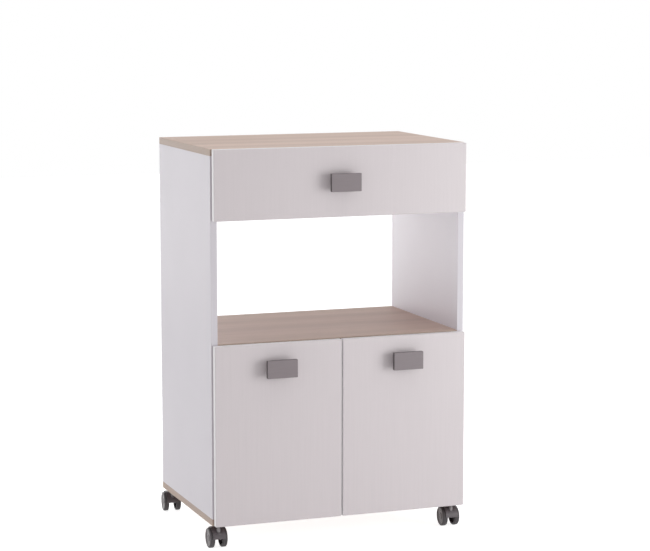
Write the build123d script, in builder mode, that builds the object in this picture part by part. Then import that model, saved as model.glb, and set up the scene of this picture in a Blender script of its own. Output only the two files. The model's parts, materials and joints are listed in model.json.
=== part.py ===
from build123d import *
from math import cos, radians, sin
import os

os.makedirs("parts", exist_ok=True)

# Driving dimensions in millimetres. X runs to the right, Y to the back, Z up from the floor.

# Cabinet body
cabinet_width = 600.0
cabinet_depth = 409.0
carcass_height = 832.0
board = 15.0
edge_rounding = 0.8

# Drawer front and doors
front_thickness = 15.0
front_gap = 2.5
front_inset = 2.75
front_rounding = 2.0
drawer_front_height = 156.0
niche_height = 273.0
door_gap = 3.0
door_lift = 0.5
shelf_step = 2.0

# Back panels in their grooves
back_thickness = 3.0
groove_depth = 5.0
groove_clearance = 0.2

# Inner shelf and its pins
inner_shelf_setback = 25.0
inner_shelf_clearance = 0.8
shelf_pin_radius = 2.5
shelf_pin_depth = 9.0
shelf_pin_reach = 8.0
shelf_pin_inset = 40.0

# Cam locks, cam bolts and dowels
cam_radius = 7.5
cam_cap = 2.0
cam_skin = 2.5
cam_edge = 24.0
bolt_thread_radius = 2.5
bolt_thread_depth = 10.0
bolt_shank_radius = 3.0
bolt_head_radius = 3.5
bolt_head_length = 3.0
bolt_end_gap = 1.0
bolt_bore_clearance = 1.0
dowel_radius = 4.0
dowel_length = 30.0
dowel_depth = 10.0
joint_inset = 45.0
dowel_step = 32.0
fitting_clearance = 0.05

# Drawer box
drawer_board = 12.0
drawer_top_clearance = 25.0
drawer_back_clearance = 18.5
drawer_bottom_thickness = 3.0
drawer_groove_depth = 4.0
drawer_groove_lift = 7.0
drawer_cam_skin = 1.5
back_screw_shares = (0.37, 0.8)

# Roller runners
runner_gap = 12.5
runner_lift = 14.0
runner_steel = 1.2
runner_start = 2.0
runner_end_gap = 3.0
runner_screw_shares = (0.2, 0.85)
lip_screw_shares = (0.2, 0.75)
channel_width = 9.2
flange_clearance = 1.0
lip_width = 10.0
roller_radius = 8.0
roller_width = 7.0
roller_clearance = 0.3
roller_play = 0.6
roller_inset = 14.0
roller_edge_rounding = 0.7
stud_radius = 2.5
stud_head_radius = 3.8
stud_head_height = 0.6
running_clearance = 0.06

# Cup hinges
hinge_inset = 80.0
cup_radius = 17.5
cup_edge = 2.5
cup_skin = 2.5
cup_floor = 0.8
cup_flange_length = 58.0
cup_flange_width = 18.0
cup_flange_thickness = 1.0
cup_screw_offset = 23.5
hinge_axis_edge = 7.0
hinge_pin_radius = 1.25
hinge_pin_length = 20.0
knuckle_radius = 2.25
knuckle_clearance = 0.25
arm_width = 10.0
arm_thickness = 2.6
arm_wide = 16.0
arm_wide_start = 6.0
arm_length = 62.0
swing_clearance = 1.0
pocket_clearance = 0.5
plate_start = 18.0
plate_length = 40.0
plate_height = 50.0
plate_wing = 3.0
plate_screw_pitch = 32.0

# Flat handles
handle_width = 70.0
handle_height = 40.0
handle_reach = 25.0
handle_plate = 10.0
handle_rim = 3.0
handle_taper = 4.0
handle_corner = 1.2
handle_rounding = 0.6
handle_drop = 54.0
neck_width = 46.0
neck_height = 16.0
neck_corner = 4.0
handle_screw_pitch = 32.0

# Screws
screw_radius = 1.75
screw_head_radius = 3.5
screw_head_height = 1.0
screw_length = 11.0
back_screw_length = 40.0
euro_radius = 2.5
euro_head_radius = 4.0
euro_head_height = 1.8
euro_length = 11.0
handle_screw_radius = 2.0
handle_screw_head_radius = 4.0
handle_screw_head_height = 1.8
handle_screw_grip = 11.0

# Casters
caster_inset_side = 19.2
caster_insets = {"front": 17.0, "rear": 14.5}
caster_turns = {"front": 1.0, "rear": 5.0}
caster_trail = 16.0
wheel_radius = 22.5
wheel_width = 11.5
wheel_spacing = 28.6
wheel_edge_rounding = 2.6
wheel_dish_depth = 1.4
wheel_rim = 4.6
wheel_hub_radius = 7.0
wheel_hollow_depth = 6.5
axle_radius = 2.5
axle_cover = 4.0
hood_width = 29.0
hood_wall = 1.7
hood_clearance = 1.0
hood_crown_gap = 9.3
hood_front_angle = 2.0
hood_back_angle = 128.0
hood_web_clearance = 0.9
hood_barrel_radius = 4.6
boss_radius = 6.2
boss_top_clearance = 19.0
boss_depth = 15.0
stem_radius = 3.5
stem_depth = 13.0
sleeve_radius = 4.4
sleeve_height = 8.0
sleeve_lift = 0.3
sleeve_clearance = 0.6
stem_flange_radius = 8.0
stem_flange_height = 2.5
stem_clearance = 0.1
socket_radius = 5.5
socket_length = 12.0
socket_wall = 2.5

# Places worked out from the driving dimensions

half_width = cabinet_width / 2
inner_half = half_width - board
side_middle = half_width - board / 2

face_y = -cabinet_depth / 2
front_back_y = face_y + front_thickness
carcass_front_y = front_back_y + front_gap
carcass_back_y = cabinet_depth / 2
back_setback = caster_insets["rear"] + socket_radius + socket_wall
back_panel_rear_y = carcass_back_y - back_setback
back_panel_front_y = back_panel_rear_y - back_thickness

caster_height = 2 * wheel_radius + hood_clearance + hood_wall + hood_crown_gap
base_z = caster_height
bottom_top_z = base_z + board
carcass_top_z = base_z + carcass_height
side_top_z = carcass_top_z - board
drawer_front_base_z = carcass_top_z - drawer_front_height
door_base_z = base_z + door_lift
door_top_z = drawer_front_base_z - niche_height
niche_floor_z = door_top_z + shelf_step
niche_shelf_base_z = niche_floor_z - board
drawer_shelf_base_z = drawer_front_base_z + shelf_step
drawer_shelf_top_z = drawer_shelf_base_z + board
inner_shelf_z = (bottom_top_z + niche_shelf_base_z) / 2
inner_shelf_front_y = carcass_front_y + inner_shelf_setback
inner_shelf_back_y = back_panel_front_y - inner_shelf_clearance

runner_base_z = drawer_shelf_top_z + runner_lift
drawer_base_z = runner_base_z
drawer_top_z = side_top_z - drawer_top_clearance
drawer_side_height = drawer_top_z - drawer_base_z
drawer_back_y = back_panel_front_y - drawer_back_clearance
runner_length = drawer_back_y - front_back_y - runner_start - runner_end_gap

back_bays = {
    "upper_back_panel": (drawer_shelf_top_z, side_top_z),
    "lower_back_panel": (bottom_top_z, niche_shelf_base_z),
}

left, right = -1, 1
sides = {"left": left, "right": right}
on_base = (Align.CENTER, Align.CENTER, Align.MIN)


# Small helpers used inside the part blocks

def block(low, high, mode=Mode.ADD):
    middle = tuple((a + b) / 2 for a, b in zip(low, high))
    with Locations(middle):
        Box(*[abs(b - a) for a, b in zip(low, high)], mode=mode)


def peg(start, direction, radius, length):
    with Locations(Plane(origin=start, z_dir=direction)):
        Cylinder(radius, length, align=on_base)


def drill(start, direction, radius, depth):
    with Locations(Plane(origin=start, z_dir=direction)):
        Cylinder(radius, depth, align=on_base, mode=Mode.SUBTRACT)


def screw(seat, direction, head_radius, head_height, radius, length):
    peg(seat, -Vector(direction), head_radius, head_height)
    peg(seat, direction, radius, length)


def finish(piece, name):
    piece.part.label = name
    export_step(piece.part, f"parts/{name}.step")


# Cam joints between the side panels and the four boards that lie across them

cam_front_y = carcass_front_y + joint_inset
cam_back_y = carcass_back_y - joint_inset
cam_ys = (cam_front_y, cam_back_y)
dowel_ys = (cam_front_y + dowel_step, cam_back_y - dowel_step)
cam_height = board - cam_skin
bolt_length = cam_edge - bolt_end_gap
dowel_bore = dowel_radius + fitting_clearance
thread_bore = bolt_thread_radius + fitting_clearance
bolt_bore = bolt_shank_radius + bolt_bore_clearance
dowel_edge_depth = dowel_length - dowel_depth

# Boards over or under a side: the side's end height and the way from that end into the board
board_ends = ((side_top_z, 1), (bottom_top_z, -1))

# Shelves between the sides: the height of the middle and the face that takes the cams
shelf_ends = {
    "niche_shelf": (niche_shelf_base_z + board / 2, -1),
    "drawer_shelf": (drawer_shelf_base_z + board / 2, 1),
}


def cam_lock(face_point, into, to_edge, height):
    face = Plane(origin=face_point, x_dir=to_edge, z_dir=into)
    notch_length = cam_radius + bolt_head_length
    notch_height = height - cam_cap
    with BuildPart(face) as cam:
        Cylinder(cam_radius, height, align=on_base)
        with Locations((cam_radius - notch_length / 2, 0, height - notch_height / 2)):
            Box(notch_length, 2 * (bolt_head_radius + fitting_clearance), notch_height, mode=Mode.SUBTRACT)
    return cam.part


def cam_bolt(face_point, out):
    head = Vector(face_point) + Vector(out) * (bolt_length - bolt_head_length)
    with BuildPart() as bolt:
        peg(face_point, -Vector(out), bolt_thread_radius, bolt_thread_depth)
        peg(face_point, out, bolt_shank_radius, bolt_length)
        peg(head, out, bolt_head_radius, bolt_head_length)
    return bolt.part


# Side panels

plate_screw_y = carcass_front_y + plate_start + plate_length / 2
hinge_heights = (door_base_z + hinge_inset, door_top_z - hinge_inset)
shelf_pin_ys = (inner_shelf_front_y + shelf_pin_inset, inner_shelf_back_y - shelf_pin_inset)
shelf_pin_z = inner_shelf_z - shelf_pin_radius
roller_z = runner_base_z + runner_steel + roller_clearance + roller_radius
runner_front_y = carcass_front_y + runner_start
runner_screw_ys = tuple(runner_front_y + share * runner_length for share in runner_screw_shares)


def make_side(hand):
    inner_x = hand * inner_half
    outer_x = hand * half_width
    into = (hand, 0, 0)
    with BuildPart() as side:
        block((inner_x, carcass_front_y, bottom_top_z), (outer_x, carcass_back_y, side_top_z))
        fillet(side.edges().filter_by(Axis.Z), edge_rounding)
        # grooves for the two back panels
        groove_x = inner_x + hand * groove_depth
        groove_low_y = back_panel_front_y - groove_clearance
        groove_high_y = back_panel_rear_y + groove_clearance
        for low_z, high_z in back_bays.values():
            low = (inner_x, groove_low_y, low_z - groove_depth)
            block(low, (groove_x, groove_high_y, high_z + groove_depth), Mode.SUBTRACT)
        # cam joints to the top and bottom panels
        for end_z, way in board_ends:
            for y in cam_ys:
                drill((inner_x, y, end_z - way * cam_edge), into, cam_radius + fitting_clearance, cam_height)
                drill((hand * side_middle, y, end_z), (0, 0, -way), bolt_bore, cam_edge)
            for y in dowel_ys:
                drill((hand * side_middle, y, end_z), (0, 0, -way), dowel_bore, dowel_edge_depth)
        # cam bolts and dowels of the shelves
        for z, _ in shelf_ends.values():
            for y in cam_ys:
                drill((inner_x, y, z), into, thread_bore, bolt_thread_depth)
            for y in dowel_ys:
                drill((inner_x, y, z), into, dowel_bore, dowel_depth)
        # shelf pins, hinge plate screws and runner screws
        for y in shelf_pin_ys:
            drill((inner_x, y, shelf_pin_z), into, shelf_pin_radius + fitting_clearance, shelf_pin_depth)
        for z in hinge_heights:
            for step in (-plate_screw_pitch / 2, plate_screw_pitch / 2):
                drill((inner_x, plate_screw_y, z + step), into, euro_radius + fitting_clearance, euro_length)
        for y in runner_screw_ys:
            drill((inner_x, y, roller_z), into, screw_radius + fitting_clearance, screw_length)
    return side


for side_name, hand in sides.items():
    finish(make_side(hand), f"{side_name}_side_panel")

# Top and bottom panels over the full width

stem_x = half_width - caster_inset_side
stem_ys = {
    "front": carcass_front_y + caster_insets["front"],
    "rear": carcass_back_y - caster_insets["rear"],
}
stem_places = [(hand * stem_x, end_y) for end_y in stem_ys.values() for hand in sides.values()]
groove_half_x = inner_half + groove_depth


def end_board_joints(end_z, way):
    for hand in sides.values():
        for y in cam_ys:
            drill((hand * side_middle, y, end_z), (0, 0, way), thread_bore, bolt_thread_depth)
        for y in dowel_ys:
            drill((hand * side_middle, y, end_z), (0, 0, way), dowel_bore, dowel_depth)


def back_groove(face_z, way):
    block(
        (-groove_half_x, back_panel_front_y - groove_clearance, face_z),
        (groove_half_x, back_panel_rear_y + groove_clearance, face_z + way * groove_depth),
        Mode.SUBTRACT,
    )


with BuildPart() as top_panel:
    block((-half_width, carcass_front_y, side_top_z), (half_width, carcass_back_y, carcass_top_z))
    fillet(top_panel.edges(), edge_rounding)
    end_board_joints(side_top_z, 1)
    back_groove(side_top_z, 1)
finish(top_panel, "top_panel")

with BuildPart() as bottom_panel:
    block((-half_width, carcass_front_y, base_z), (half_width, carcass_back_y, bottom_top_z))
    fillet(bottom_panel.edges(), edge_rounding)
    end_board_joints(bottom_top_z, -1)
    back_groove(bottom_top_z, -1)
    for x, y in stem_places:
        drill((x, y, base_z), (0, 0, 1), socket_radius + fitting_clearance, socket_length)
finish(bottom_panel, "bottom_panel")

# Niche shelf and drawer shelf between the sides


def make_cross_shelf(middle_z, cam_way):
    low_z, high_z = middle_z - board / 2, middle_z + board / 2
    cam_face_z = middle_z + cam_way * board / 2
    with BuildPart() as shelf:
        block((-inner_half, carcass_front_y, low_z), (inner_half, carcass_back_y, high_z))
        fillet(shelf.edges().filter_by(Axis.X), edge_rounding)
        for hand in sides.values():
            inward = (-hand, 0, 0)
            cam_x = hand * (inner_half - cam_edge)
            for y in cam_ys:
                drill((cam_x, y, cam_face_z), (0, 0, -cam_way), cam_radius + fitting_clearance, cam_height)
                drill((hand * inner_half, y, middle_z), inward, bolt_bore, cam_edge)
            for y in dowel_ys:
                drill((hand * inner_half, y, middle_z), inward, dowel_bore, dowel_edge_depth)
        back_groove(cam_face_z, -cam_way)
    return shelf


for shelf_name, (middle_z, cam_way) in shelf_ends.items():
    finish(make_cross_shelf(middle_z, cam_way), shelf_name)

# Back panels, seated in the grooves with a little play

back_seat = groove_depth - groove_clearance
for back_name, (low_z, high_z) in back_bays.items():
    with BuildPart() as back_panel:
        block(
            (-inner_half - back_seat, back_panel_front_y, low_z - back_seat),
            (inner_half + back_seat, back_panel_rear_y, high_z + back_seat),
        )
    finish(back_panel, back_name)

# Inner shelf on four pins

inner_shelf_half = inner_half - inner_shelf_clearance
with BuildPart() as inner_shelf:
    block(
        (-inner_shelf_half, inner_shelf_front_y, inner_shelf_z),
        (inner_shelf_half, inner_shelf_back_y, inner_shelf_z + board),
    )
    fillet(inner_shelf.edges().filter_by(Axis.X), edge_rounding)
finish(inner_shelf, "inner_shelf")

with BuildPart() as shelf_pins:
    for hand in sides.values():
        for y in shelf_pin_ys:
            start = (hand * (inner_half - shelf_pin_reach), y, shelf_pin_z)
            peg(start, (hand, 0, 0), shelf_pin_radius, shelf_pin_reach + shelf_pin_depth)
finish(shelf_pins, "shelf_pins")

# Cam locks, cam bolts and dowels of the carcass

cams, bolts = [], []
for hand in sides.values():
    for y in cam_ys:
        for end_z, way in board_ends:
            cam_point = (hand * inner_half, y, end_z - way * cam_edge)
            cams.append(cam_lock(cam_point, (hand, 0, 0), (0, 0, way), cam_height))
            bolts.append(cam_bolt((hand * side_middle, y, end_z), (0, 0, -way)))
        for middle_z, way in shelf_ends.values():
            cam_point = (hand * (inner_half - cam_edge), y, middle_z + way * board / 2)
            cams.append(cam_lock(cam_point, (0, 0, -way), (hand, 0, 0), cam_height))
            bolts.append(cam_bolt((hand * inner_half, y, middle_z), (-hand, 0, 0)))

with BuildPart() as cam_locks:
    add(cams)
finish(cam_locks, "cam_locks")

with BuildPart() as cam_bolts:
    add(bolts)
finish(cam_bolts, "cam_bolts")

with BuildPart() as wood_dowels:
    for hand in sides.values():
        for y in dowel_ys:
            for end_z, way in board_ends:
                start = (hand * side_middle, y, end_z + way * dowel_depth)
                peg(start, (0, 0, -way), dowel_radius, dowel_length)
            for middle_z, _ in shelf_ends.values():
                start = (hand * (inner_half + dowel_depth), y, middle_z)
                peg(start, (-hand, 0, 0), dowel_radius, dowel_length)
finish(wood_dowels, "wood_dowels")

# Handles: a tapered plate on a smaller neck


def make_handle(middle_x, middle_z):
    front = Plane(origin=(middle_x, face_y - handle_reach, middle_z), x_dir=(1, 0, 0), z_dir=(0, 1, 0))
    with BuildPart() as handle:
        with BuildSketch(front):
            RectangleRounded(handle_width, handle_height, handle_corner)
        extrude(amount=handle_rim)
        extrude(handle.faces().sort_by(Axis.Y)[-1], amount=handle_plate - handle_rim, taper=handle_taper)
        with BuildSketch(front.offset(handle_plate)):
            RectangleRounded(neck_width, neck_height, neck_corner)
        extrude(amount=handle_reach - handle_plate)
        fillet(handle.faces().sort_by(Axis.Y)[0].edges(), handle_rounding)
        for step in (-handle_screw_pitch / 2, handle_screw_pitch / 2):
            drill(
                (middle_x + step, face_y, middle_z),
                (0, -1, 0),
                handle_screw_radius + fitting_clearance,
                handle_screw_grip,
            )
    return handle


def handle_screw_bores(middle_x, middle_z):
    for step in (-handle_screw_pitch / 2, handle_screw_pitch / 2):
        drill(
            (middle_x + step, front_back_y, middle_z),
            (0, -1, 0),
            handle_screw_radius + fitting_clearance,
            front_thickness,
        )


def handle_screws(middle_x, middle_z):
    for step in (-handle_screw_pitch / 2, handle_screw_pitch / 2):
        screw(
            (middle_x + step, front_back_y, middle_z),
            (0, -1, 0),
            handle_screw_head_radius,
            handle_screw_head_height,
            handle_screw_radius,
            front_thickness + handle_screw_grip,
        )


# Drawer box, carried on its runners

drawer_outer_x = inner_half - runner_gap
drawer_inner_x = drawer_outer_x - drawer_board
drawer_floor_z = drawer_base_z + drawer_groove_lift
drawer_floor_top_z = drawer_floor_z + drawer_bottom_thickness
drawer_middle_z = (drawer_front_base_z + carcass_top_z) / 2
drawer_side_middle = (drawer_outer_x + drawer_inner_x) / 2
drawer_cam_height = drawer_board - drawer_cam_skin
drawer_cam_z = drawer_top_z - drawer_side_height / 2
back_screw_zs = tuple(drawer_base_z + share * drawer_side_height for share in back_screw_shares)
back_screw_y = drawer_back_y - drawer_board / 2
drawer_groove_base_z = drawer_floor_z - groove_clearance
drawer_groove_top_z = drawer_floor_top_z + groove_clearance
lip_screw_ys = tuple(front_back_y + share * runner_length for share in lip_screw_shares)

with BuildPart() as drawer_front:
    block(
        (-half_width + front_inset, face_y, drawer_front_base_z),
        (half_width - front_inset, front_back_y, carcass_top_z),
    )
    fillet(drawer_front.edges(), front_rounding)
    block(
        (-drawer_inner_x, front_back_y - drawer_groove_depth, drawer_groove_base_z),
        (drawer_inner_x, front_back_y, drawer_groove_top_z),
        Mode.SUBTRACT,
    )
    handle_screw_bores(0, drawer_middle_z)
    for hand in sides.values():
        bolt_point = (hand * drawer_side_middle, front_back_y, drawer_cam_z)
        drill(bolt_point, (0, -1, 0), thread_bore, bolt_thread_depth)
finish(drawer_front, "drawer_front")


def make_drawer_side(hand):
    inner_x = hand * drawer_inner_x
    outer_x = hand * drawer_outer_x
    groove_x = inner_x + hand * drawer_groove_depth
    with BuildPart() as side:
        block((inner_x, front_back_y, drawer_base_z), (outer_x, drawer_back_y, drawer_top_z))
        fillet(side.edges().filter_by(Axis.Y).group_by(Axis.Z)[-1], edge_rounding)
        block(
            (inner_x, front_back_y, drawer_groove_base_z),
            (groove_x, drawer_back_y, drawer_groove_top_z),
            Mode.SUBTRACT,
        )
        cam_point = (inner_x, front_back_y + cam_edge, drawer_cam_z)
        drill(cam_point, (hand, 0, 0), cam_radius + fitting_clearance, drawer_cam_height)
        drill((hand * drawer_side_middle, front_back_y, drawer_cam_z), (0, 1, 0), bolt_bore, cam_edge)
        for z in back_screw_zs:
            drill((outer_x, back_screw_y, z), (-hand, 0, 0), screw_radius + fitting_clearance, drawer_board)
        for y in lip_screw_ys:
            drill(
                (hand * drawer_side_middle, y, drawer_base_z),
                (0, 0, 1),
                screw_radius + fitting_clearance,
                screw_length,
            )
    return side


for side_name, hand in sides.items():
    finish(make_drawer_side(hand), f"drawer_{side_name}_side")

with BuildPart() as drawer_back:
    block(
        (-drawer_inner_x, drawer_back_y - drawer_board, drawer_floor_top_z),
        (drawer_inner_x, drawer_back_y, drawer_top_z),
    )
    fillet(drawer_back.edges().filter_by(Axis.X).group_by(Axis.Z)[-1], edge_rounding)
    for hand in sides.values():
        for z in back_screw_zs:
            drill(
                (hand * drawer_inner_x, back_screw_y, z),
                (-hand, 0, 0),
                screw_radius + fitting_clearance,
                back_screw_length - drawer_board,
            )
finish(drawer_back, "drawer_back")

drawer_floor_half = drawer_inner_x + drawer_groove_depth - groove_clearance
drawer_tongue_half = drawer_inner_x - groove_clearance
with BuildPart() as drawer_bottom:
    block(
        (-drawer_floor_half, front_back_y, drawer_floor_z),
        (drawer_floor_half, drawer_back_y, drawer_floor_top_z),
    )
    block(
        (-drawer_tongue_half, front_back_y - drawer_groove_depth + groove_clearance, drawer_floor_z),
        (drawer_tongue_half, front_back_y, drawer_floor_top_z),
    )
finish(drawer_bottom, "drawer_bottom")

finish(make_handle(0, drawer_middle_z), "drawer_handle")

drawer_cams = [
    cam_lock(
        (hand * drawer_inner_x, front_back_y + cam_edge, drawer_cam_z),
        (hand, 0, 0),
        (0, -1, 0),
        drawer_cam_height,
    )
    for hand in sides.values()
]
drawer_bolts = [
    cam_bolt((hand * drawer_side_middle, front_back_y, drawer_cam_z), (0, 1, 0)) for hand in sides.values()
]
with BuildPart() as drawer_fittings:
    add(drawer_cams)
    add(drawer_bolts)
finish(drawer_fittings, "drawer_fittings")

with BuildPart() as drawer_screws:
    handle_screws(0, drawer_middle_z)
    for hand in sides.values():
        for z in back_screw_zs:
            seat = (hand * drawer_outer_x, back_screw_y, z)
            screw(seat, (-hand, 0, 0), screw_head_radius, screw_head_height, screw_radius, back_screw_length)
        for y in lip_screw_ys:
            seat = (hand * drawer_side_middle, y, drawer_base_z - runner_steel)
            screw(seat, (0, 0, 1), screw_head_radius, screw_head_height, screw_radius, screw_length)
finish(drawer_screws, "drawer_screws")

# Roller runners: a channel on the cabinet side, an angle under the drawer side, two rollers each

flange_base_z = roller_z + roller_radius + roller_clearance
flange_top_z = flange_base_z + runner_steel
channel_ceiling_z = flange_top_z + flange_clearance
channel_top_z = channel_ceiling_z + runner_steel
front_roller_y = runner_front_y + roller_inset
drawer_runner_front_y = front_back_y + runner_start
drawer_runner_back_y = drawer_runner_front_y + runner_length
rear_roller_y = drawer_runner_back_y - roller_inset
front_roller_start = runner_steel + roller_play
rear_roller_start = runner_gap - runner_steel - roller_play
stud_length = roller_width + 2 * roller_play


def make_cabinet_runner(hand):
    wall_x = hand * inner_half
    web_x = hand * (inner_half - runner_steel)
    tip_x = hand * (inner_half - channel_width)
    back_y = runner_front_y + runner_length
    with BuildPart() as runner:
        block((wall_x, runner_front_y, runner_base_z), (web_x, back_y, channel_top_z))
        for low_z in (runner_base_z, channel_ceiling_z):
            block((wall_x, runner_front_y, low_z), (tip_x, back_y, low_z + runner_steel))
        for y in runner_screw_ys:
            drill((web_x, y, roller_z), (hand, 0, 0), screw_radius + fitting_clearance, runner_steel)
        peg((web_x, front_roller_y, roller_z), (-hand, 0, 0), stud_radius, stud_length)
        head_x = web_x - hand * stud_length
        peg((head_x, front_roller_y, roller_z), (-hand, 0, 0), stud_head_radius, stud_head_height)
    return runner


def make_drawer_runner(hand):
    seat_x = hand * drawer_outer_x
    web_x = hand * (drawer_outer_x + runner_steel)
    flange_x = hand * (inner_half - runner_steel - roller_play)
    lip_x = hand * (drawer_outer_x - lip_width)
    front_y, back_y = drawer_runner_front_y, drawer_runner_back_y
    lip_z = drawer_base_z - runner_steel
    with BuildPart() as runner:
        block((seat_x, front_y, lip_z), (web_x, back_y, flange_top_z))
        block((seat_x, front_y, flange_base_z), (flange_x, back_y, flange_top_z))
        block((web_x, front_y, lip_z), (lip_x, back_y, drawer_base_z))
        for y in lip_screw_ys:
            drill(
                (hand * drawer_side_middle, y, lip_z),
                (0, 0, 1),
                screw_radius + fitting_clearance,
                runner_steel,
            )
        peg((web_x, rear_roller_y, roller_z), (hand, 0, 0), stud_radius, stud_length)
        head_x = web_x + hand * stud_length
        peg((head_x, rear_roller_y, roller_z), (hand, 0, 0), stud_head_radius, stud_head_height)
    return runner


def make_roller(hand, start, out, middle_y):
    face = Plane(origin=(hand * (inner_half - start), middle_y, roller_z), z_dir=(out, 0, 0))
    with BuildPart(face) as roller:
        Cylinder(roller_radius, roller_width, align=on_base)
        fillet(roller.edges().filter_by(GeomType.CIRCLE), roller_edge_rounding)
        Cylinder(stud_radius + running_clearance, roller_width, align=on_base, mode=Mode.SUBTRACT)
    return roller


for side_name, hand in sides.items():
    finish(make_cabinet_runner(hand), f"{side_name}_cabinet_runner")
    finish(make_drawer_runner(hand), f"{side_name}_drawer_runner")
    finish(make_roller(hand, front_roller_start, -hand, front_roller_y), f"{side_name}_front_roller")
    finish(make_roller(hand, rear_roller_start, hand, rear_roller_y), f"{side_name}_rear_roller")

# Doors with cup hinges: the pin lies deep in the cup, near the door's outer edge

cup_depth = front_thickness - cup_skin
cup_centre_edge = cup_edge + cup_radius
hinge_axis_depth = cup_depth - cup_floor - knuckle_clearance - knuckle_radius
hinge_axis_y = front_back_y - hinge_axis_depth
neck_run = hinge_axis_depth + cup_flange_thickness + arm_thickness / 2 + swing_clearance
pocket_start = hinge_axis_edge - knuckle_radius - pocket_clearance
pocket_end = hinge_axis_edge + neck_run + arm_thickness / 2 + pocket_clearance
pocket_width = arm_width + 2 * pocket_clearance
door_outer = half_width - front_inset
door_middle_x = (door_outer + door_gap / 2) / 2
door_handle_z = door_top_z - handle_drop
cup_screw_steps = (-cup_screw_offset, cup_screw_offset)


def make_door(hand):
    with BuildPart() as door:
        block(
            (hand * door_gap / 2, face_y, door_base_z),
            (hand * door_outer, front_back_y, door_top_z),
        )
        fillet(door.edges(), front_rounding)
        handle_screw_bores(hand * door_middle_x, door_handle_z)
        cup_x = hand * (door_outer - cup_centre_edge)
        for z in hinge_heights:
            drill((cup_x, front_back_y, z), (0, -1, 0), cup_radius + fitting_clearance, cup_depth)
            for step in cup_screw_steps:
                drill(
                    (cup_x, front_back_y, z + step),
                    (0, -1, 0),
                    screw_radius + fitting_clearance,
                    screw_length,
                )
    return door


def make_hinge_cup(hand, height):
    cup_x = hand * (door_outer - cup_centre_edge)
    mouth = Plane(origin=(cup_x, front_back_y, height), x_dir=(hand, 0, 0), z_dir=(0, -1, 0))
    pocket_floor = cup_depth - cup_floor
    with BuildPart(mouth) as cup:
        Cylinder(cup_radius, cup_depth, align=on_base)
        with BuildSketch(mouth) as flange:
            SlotOverall(cup_flange_length, cup_flange_width, rotation=90)
        extrude(amount=-cup_flange_thickness)
        pocket_middle = cup_centre_edge - (pocket_start + pocket_end) / 2
        with Locations((pocket_middle, 0, (pocket_floor - cup_flange_thickness) / 2)):
            Box(
                pocket_end - pocket_start,
                pocket_width,
                pocket_floor + cup_flange_thickness,
                mode=Mode.SUBTRACT,
            )
        with Locations((cup_centre_edge - hinge_axis_edge, 0, hinge_axis_depth)):
            Cylinder(
                hinge_pin_radius + fitting_clearance,
                hinge_pin_length,
                rotation=(90, 0, 0),
                mode=Mode.SUBTRACT,
            )
        for step in cup_screw_steps:
            with Locations((0, step, -cup_flange_thickness)):
                Cylinder(
                    screw_radius + fitting_clearance,
                    cup_flange_thickness,
                    align=on_base,
                    mode=Mode.SUBTRACT,
                )
    return cup.part


def make_hinge_arm(hand, height):
    axis_x = hand * (door_outer - hinge_axis_edge)
    leg_x = axis_x - hand * neck_run
    half = arm_thickness / 2
    wide_front_y = carcass_front_y + arm_wide_start
    arm_back_y = carcass_front_y + arm_length
    low_z, high_z = height - arm_width / 2, height + arm_width / 2
    with BuildPart() as arm:
        peg((axis_x, hinge_axis_y, low_z), (0, 0, 1), knuckle_radius, arm_width)
        block((axis_x, hinge_axis_y - half, low_z), (leg_x - hand * half, hinge_axis_y + half, high_z))
        block((leg_x - half, hinge_axis_y - half, low_z), (leg_x + half, arm_back_y, high_z))
        block(
            (leg_x - half, wide_front_y, height - arm_wide / 2),
            (leg_x + half, arm_back_y, height + arm_wide / 2),
        )
        drill((axis_x, hinge_axis_y, low_z), (0, 0, 1), hinge_pin_radius + running_clearance, arm_width)
        drill(
            (leg_x - hand * half, plate_screw_y, height),
            (hand, 0, 0),
            euro_radius + fitting_clearance,
            arm_thickness,
        )
    return arm.part


arm_seat = board - front_inset - hinge_axis_edge
plate_ridge = neck_run - arm_seat - arm_thickness / 2
plate_front_y = carcass_front_y + plate_start
plate_back_y = plate_front_y + plate_length


def make_hinge_plate(hand, height):
    wall_x = hand * inner_half
    wing_x = hand * (inner_half - plate_wing)
    ridge_x = hand * (inner_half - plate_ridge)
    with BuildPart() as plate:
        block(
            (wall_x, plate_front_y, height - plate_height / 2),
            (wing_x, plate_back_y, height + plate_height / 2),
        )
        block(
            (wall_x, plate_front_y, height - arm_wide / 2),
            (ridge_x, plate_back_y, height + arm_wide / 2),
        )
        for step in (-plate_screw_pitch / 2, plate_screw_pitch / 2):
            drill(
                (wing_x, plate_screw_y, height + step),
                (hand, 0, 0),
                euro_radius + fitting_clearance,
                plate_wing,
            )
        drill((ridge_x, plate_screw_y, height), (hand, 0, 0), euro_radius + fitting_clearance, plate_ridge)
    return plate.part


arms, plates = [], []
for side_name, hand in sides.items():
    finish(make_door(hand), f"{side_name}_door")
    finish(make_handle(hand * door_middle_x, door_handle_z), f"{side_name}_door_handle")

    cups = [make_hinge_cup(hand, z) for z in hinge_heights]
    with BuildPart() as hinge_cups:
        add(cups)
    finish(hinge_cups, f"{side_name}_hinge_cups")

    axis_x = hand * (door_outer - hinge_axis_edge)
    with BuildPart() as hinge_pins:
        for z in hinge_heights:
            pin_base = (axis_x, hinge_axis_y, z - hinge_pin_length / 2)
            peg(pin_base, (0, 0, 1), hinge_pin_radius, hinge_pin_length)
    finish(hinge_pins, f"{side_name}_hinge_pins")

    cup_x = hand * (door_outer - cup_centre_edge)
    with BuildPart() as door_screws:
        handle_screws(hand * door_middle_x, door_handle_z)
        for z in hinge_heights:
            for step in cup_screw_steps:
                seat = (cup_x, front_back_y + cup_flange_thickness, z + step)
                screw(seat, (0, -1, 0), screw_head_radius, screw_head_height, screw_radius, screw_length)
    finish(door_screws, f"{side_name}_door_screws")

    arms += [make_hinge_arm(hand, z) for z in hinge_heights]
    plates += [make_hinge_plate(hand, z) for z in hinge_heights]

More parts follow.
